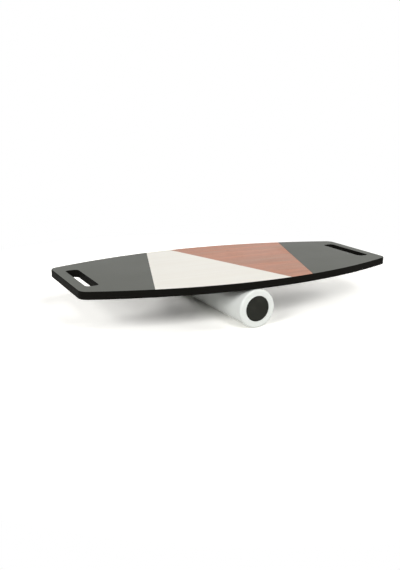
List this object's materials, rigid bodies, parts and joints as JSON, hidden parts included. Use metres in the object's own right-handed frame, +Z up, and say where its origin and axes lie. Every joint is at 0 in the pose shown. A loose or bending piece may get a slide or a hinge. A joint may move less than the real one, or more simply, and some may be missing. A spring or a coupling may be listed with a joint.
{
  "type": "rola bola",
  "caption": "Balance board with bowed sides, grip slots and coloured facing panels, lying level across a loose hollow roller with recessed end plugs.",
  "frame": {"origin": "on the floor, under the middle of the board and of the roller's length", "axes": "+X along the board, +Y along the roller, +Z up"},
  "size_m": [0.72, 0.34, 0.0947],
  "materials": {
    "core": "black lacquer, satin",
    "dark_facing": "charcoal laminate, satin",
    "cream_facing": "warm white laminate, satin",
    "timber_facing": "reddish timber veneer, grain along the board, satin",
    "stop": "black lacquer, matt",
    "screw": "blackened steel",
    "roller": "white, turned smooth, satin",
    "plug": "black moulded rubber, matt"
  },
  "bodies": {
    "roller": {"roller_tube": "roller", "end_plug_near": "plug", "end_plug_far": "plug"},
    "board": {"deck_core": "core", "facing_dark_left": "dark_facing", "facing_cream": "cream_facing", "facing_timber": "timber_facing", "facing_dark_right": "dark_facing", "stop_batten_left": "stop", "stop_batten_right": "stop", "stop_screw_left_1": "screw", "stop_screw_left_2": "screw", "stop_screw_left_3": "screw", "stop_screw_right_1": "screw", "stop_screw_right_2": "screw", "stop_screw_right_3": "screw"}
  },
  "joints": [
    {"name": "board_tilt", "type": "hinge", "parent": "roller", "child": "board", "pos_m": [-0.025, 0, 0.03948], "axis": [0, 1, 0], "range_deg": [-13.4, 11.7]}
  ]
}
